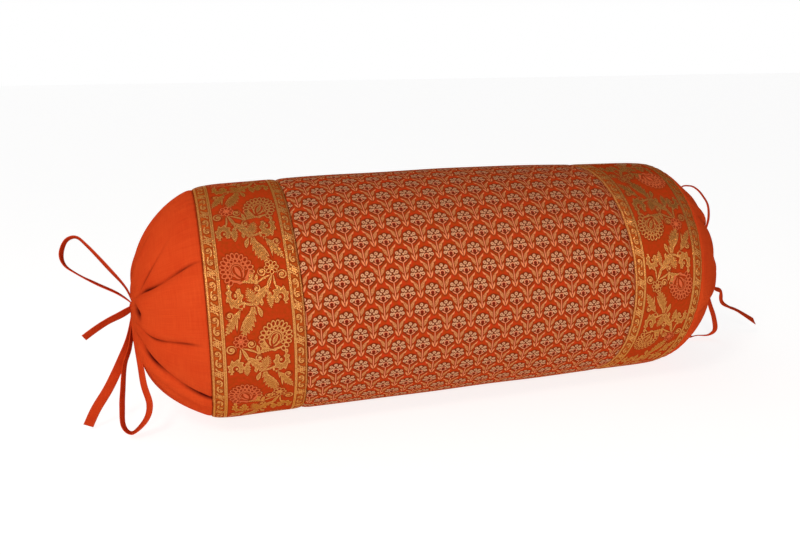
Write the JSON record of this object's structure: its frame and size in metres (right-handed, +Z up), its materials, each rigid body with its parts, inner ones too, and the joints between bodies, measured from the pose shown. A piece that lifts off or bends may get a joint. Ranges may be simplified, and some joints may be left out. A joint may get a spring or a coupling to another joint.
{
  "type": "bolster cover",
  "caption": "Filled round bolster cover with a flowered brocade panel, vine borders, and plain gathered ends closed by flat ties in bows.",
  "frame": {"origin": "on the surface it rests on, under the middle of the filled body; the ties are not counted", "axes": "+X along the bolster towards the right end, -Y is the front, +Z is up"},
  "size_m": [0.8239, 0.242, 0.2395],
  "materials": {
    "flowered_brocade": "satin brocade, red-orange ground with small pale pink and gold flowers and maroon shading",
    "border_brocade": "red-orange brocade with a flower vine in metallic gold thread",
    "plain_cloth": "plain orange-red cloth, soft dull sheen",
    "tie_cloth": "flat tie folded from the plain orange-red cloth"
  },
  "bodies": {
    "root": {"panel": "flowered_brocade", "border_left": "border_brocade", "border_right": "border_brocade", "end_left": "plain_cloth", "end_right": "plain_cloth", "tie_left": "tie_cloth", "tie_right": "tie_cloth"}
  },
  "joints": []
}
